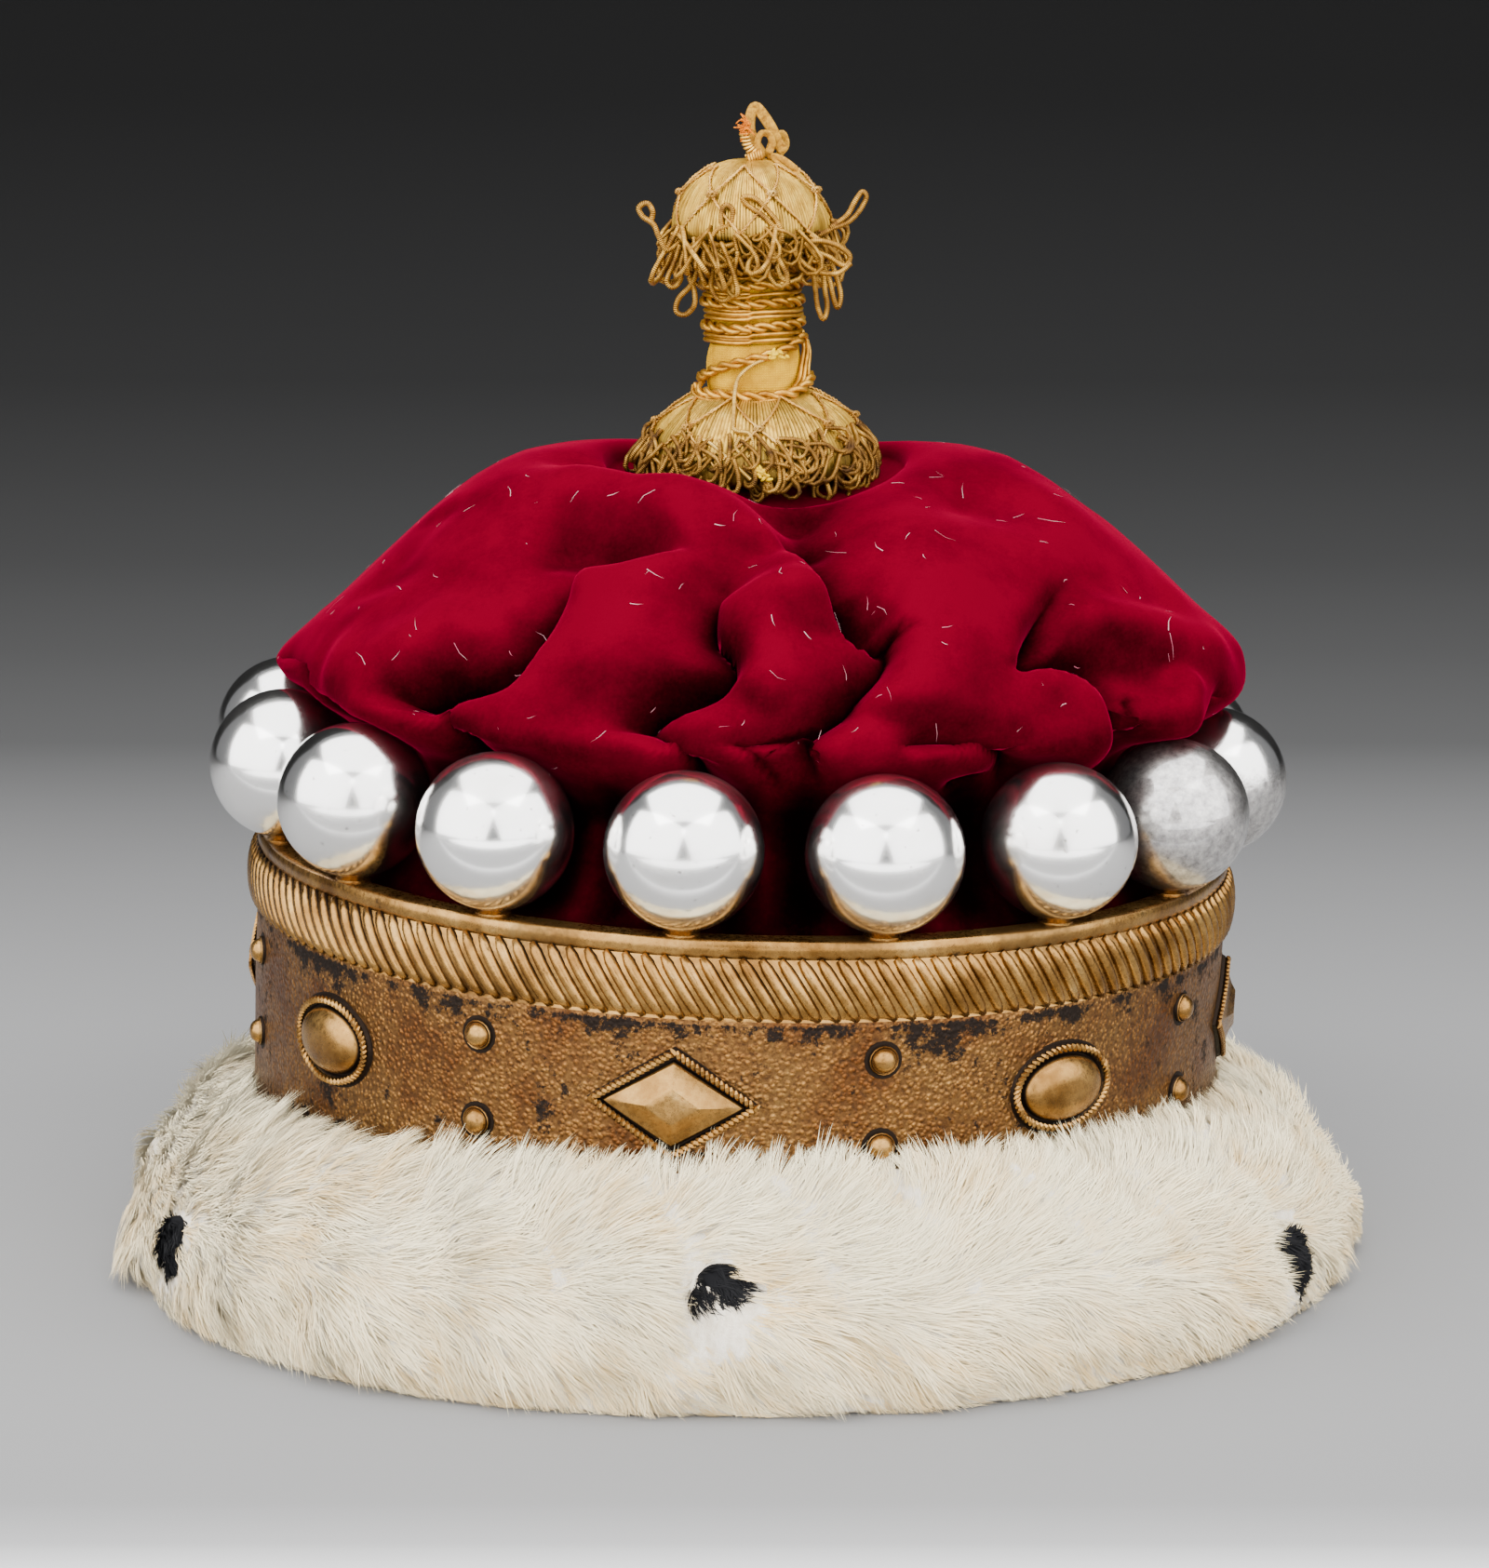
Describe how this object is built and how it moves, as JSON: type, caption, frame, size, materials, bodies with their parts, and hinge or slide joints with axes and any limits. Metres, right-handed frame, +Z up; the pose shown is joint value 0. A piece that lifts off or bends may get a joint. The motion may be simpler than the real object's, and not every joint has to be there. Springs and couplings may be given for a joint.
{
  "type": "coronet",
  "caption": "Coronet with a gilt circlet, silver balls standing on its lip, a crumpled crimson velvet cap, a gold thread tassel and a fur border with black tails.",
  "frame": {"origin": "on the surface that the fur border rests on, under the middle of the border", "axes": "+Z up, -Y to the front, +X to the right as the front is seen"},
  "size_m": [0.2416, 0.234, 0.2252],
  "materials": {
    "silver_gilt": "matt punched band with dark tarnish, worn smooth on the lip, rope moulding and bosses",
    "silver": "polished, one ball dull with tarnish",
    "crimson_velvet": "short soft pile",
    "white_fur": "deep soft hair, cream at the roots",
    "black_fur": "short black hair",
    "gold_thread": "metal thread and bullion cord",
    "yellow_cloth": "woven silk"
  },
  "bodies": {
    "root": {"circlet": "silver_gilt", "velvet_cap": "crimson_velvet", "fur_border": "white_fur", "tassel_base": "gold_thread", "tassel_neck": "yellow_cloth", "neck_winding": "gold_thread", "tassel_head": "gold_thread", "finial": "gold_thread", "ball_01": "silver", "ball_02": "silver", "ball_03": "silver", "ball_04": "silver", "ball_05": "silver", "ball_06": "silver", "ball_07": "silver", "ball_08": "silver", "ball_09": "silver", "ball_10": "silver", "ball_11": "silver", "ball_12": "silver", "ball_13": "silver", "ball_14": "silver", "ball_15": "silver", "ball_16": "silver", "ermine_tail_1": "black_fur", "ermine_tail_2": "black_fur", "ermine_tail_3": "black_fur", "ermine_tail_4": "black_fur", "ermine_tail_5": "black_fur", "ermine_tail_6": "black_fur"}
  },
  "joints": []
}
